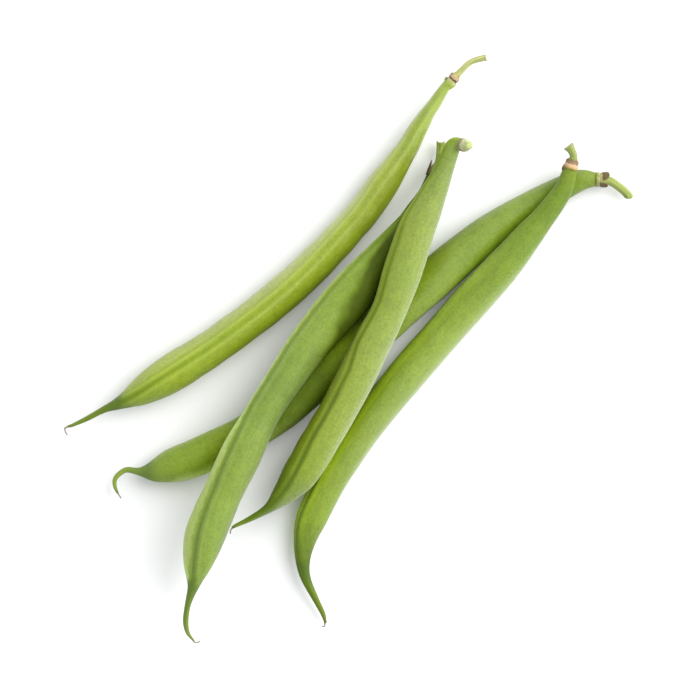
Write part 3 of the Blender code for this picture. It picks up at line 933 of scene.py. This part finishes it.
def stalkPaint(bean, settings, length):
    paint = Paint(bean + "Stalk")
    base = settings["tone"]
    ribs = paint.ramp(paint.streaks(9.0, 0.35, 2.0), 0.38, 0.62)
    colour = paint.mix(ribs, tone(base[0] * 0.66, base[1] * 0.76, base[2] * 0.6), tone(*base, 1.18))
    blush = paint.ramp(paint.grain(1.5 * mm, 2.0), 0.5, 0.75)
    colour = paint.mix(0.35 * blush, colour, tone(0.34, 0.27, 0.1))
    bruise = paint.ramp(paint.along, length / mm - 0.9, length / mm)
    colour = paint.mix(0.35 * bruise, colour, tone(0.24, 0.19, 0.09))
    normal = paint.bumps(ribs + 0.5 * paint.grain(0.25 * mm, 2.0), 0.07 * mm, 0.7)
    return paint.finish(colour, 0.5 + 0.1 * ribs, 0.3, Normal=normal, Sheen_Weight=0.2)


def cutPaint(bean, settings):
    paint = Paint(bean + "Cut")
    pith = paint.ramp(paint.grain(0.3 * mm, 3.0, 0.6), 0.3, 0.7)
    colour = paint.mix(pith, tone(*settings["cut"], 0.75), tone(*settings["cut"], 1.1))
    return paint.finish(colour, 0.7 + 0.1 * pith, 0.2, Normal=paint.bumps(pith, 0.08 * mm, 0.8))


for bean, settings in stalks.items():
    measured = stalkSpines[bean]
    points = [measured.at(measured.centre, knot) for knot in measured.knots]
    points[-1] = points[-1] + measured.along[-1] * settings["longer"] * mm
    stalk = Spine(points)
    middleWidth = np.median(measured.halfWidth)
    share = stalk.run / stalk.length
    swell = 1 + settings["flare"] * easeIn(stalk.run, stalk.length - 1.6 * mm, stalk.length)
    slim = np.minimum(measured.halfWidth, 1.1 * middleWidth)
    widths = np.interp(share, measured.run / measured.length, slim)
    stalk.halfWidth = stalk.halfHeight = widths * settings["girth"] * swell
    shape = bmesh.new()
    end = roundEnd(0.6 * mm, 8) if bean in roundedStalks else cutEnd
    growLimb(shape, stalk, 0.12 * mm, 40, roundEnd(0.1 * mm, 4), end, endLook=(cutRows, 1), ridges=0.05,
             notch=settings["notch"] * mm)
    looks = [stalkPaint(bean, settings, stalk.length), cutPaint(bean, settings)]
    piece = finishPiece(shape, bean + "Stem", bean + "_stem", looks)
    print(piece.name, "built,", round(stalk.length / mm, 1), "mm long")


def threadPaint(bean):
    paint = Paint(bean + "Thread")
    twist = paint.ramp(paint.streaks(0.9, 0.12, 7.0), 0.3, 0.7)
    colour = paint.mix(twist, tone(0.13, 0.1, 0.07), tone(0.3, 0.26, 0.2))
    return paint.finish(colour, 0.75 + 0.1 * twist, 0.2, Normal=paint.bumps(twist, 0.05 * mm, 0.8))


for bean in beanNames:
    # a thread starts inside the end of the beak
    root, dried = podSpines[bean], tipSpines[bean]
    points = [root.at(root.centre, root.length - 0.5 * mm)]
    points += [dried.at(dried.centre, knot) for knot in dried.knots]
    thread = Spine(points, 0.1 * mm)
    share = thread.run / thread.length
    thread.halfWidth = mm * (0.24 - 0.12 * share + 0.03 * np.sin(9 * share))
    thread.halfHeight = 0.8 * thread.halfWidth
    shape = bmesh.new()
    growLimb(shape, thread, 0.06 * mm, 18, roundEnd(0.05 * mm, 3), roundEnd(0.05 * mm, 3), ridges=0.08)
    piece = finishPiece(shape, bean + "Style", bean + "_style", [threadPaint(bean)])
print("calyxes, stalks and dried tips built")


# Table, light and camera
table = {"size": 8.0, "tone": 0.8, "grain": 0.008}
# the softbox stands some degrees round from the right and some degrees up
light = {
    "dome": 0.92, "domeTint": (0.965, 0.98, 1.0, 1.0),
    "watts": 26.0, "round": 28.0, "up": 39.0, "far": 1.2, "width": 1.5,
}
# the lens is very long and looks straight down on a square of this width in metres
lens = {"length": 1000.0, "sensor": 36.0, "view": 0.175, "right": 0.000575, "forward": -0.000225}

board = bmesh.new()
bmesh.ops.create_grid(board, x_segments=1, y_segments=1, size=table["size"] / 2)
boardMesh = bpy.data.meshes.new("table")
board.to_mesh(boardMesh)
board.free()
tableTop = bpy.data.objects.new("table", boardMesh)
things.link(tableTop)
boardPaint = Paint("tablePaper")
paper = table["tone"] + table["grain"] * (boardPaint.ramp(boardPaint.grain(0.9 * mm, 2.0), 0.0, 1.0) - 0.5)
boardMesh.materials.append(boardPaint.finish(boardPaint.grey(paper), 0.9, 0.1))

world = bpy.data.worlds.new("softDome")
world.use_nodes = True
sky = world.node_tree.nodes["Background"].inputs
sky["Color"].default_value = light["domeTint"]
sky["Strength"].default_value = light["dome"]
bpy.context.scene.world = world

lamp = bpy.data.lights.new("softbox", "AREA")
lamp.shape = "DISK"
lamp.size = light["width"]
lamp.energy = light["watts"]
softbox = bpy.data.objects.new("softbox", lamp)
turn, rise = radians(light["round"]), radians(light["up"])
towards = Vector((cos(turn) * cos(rise), sin(turn) * cos(rise), sin(rise)))
softbox.location = towards * light["far"]
softbox.rotation_euler = towards.to_track_quat("Z", "Y").to_euler()
softbox.visible_camera = False
things.link(softbox)

eye = bpy.data.cameras.new("camera")
eye.lens = lens["length"]
eye.sensor_width = lens["sensor"]
camera = bpy.data.objects.new("camera", eye)
camera.location = (lens["right"], lens["forward"], lens["view"] * lens["length"] / lens["sensor"])
things.link(camera)
bpy.context.scene.camera = camera
bpy.context.scene.view_settings.view_transform = "Standard"
print("table, light and camera set")
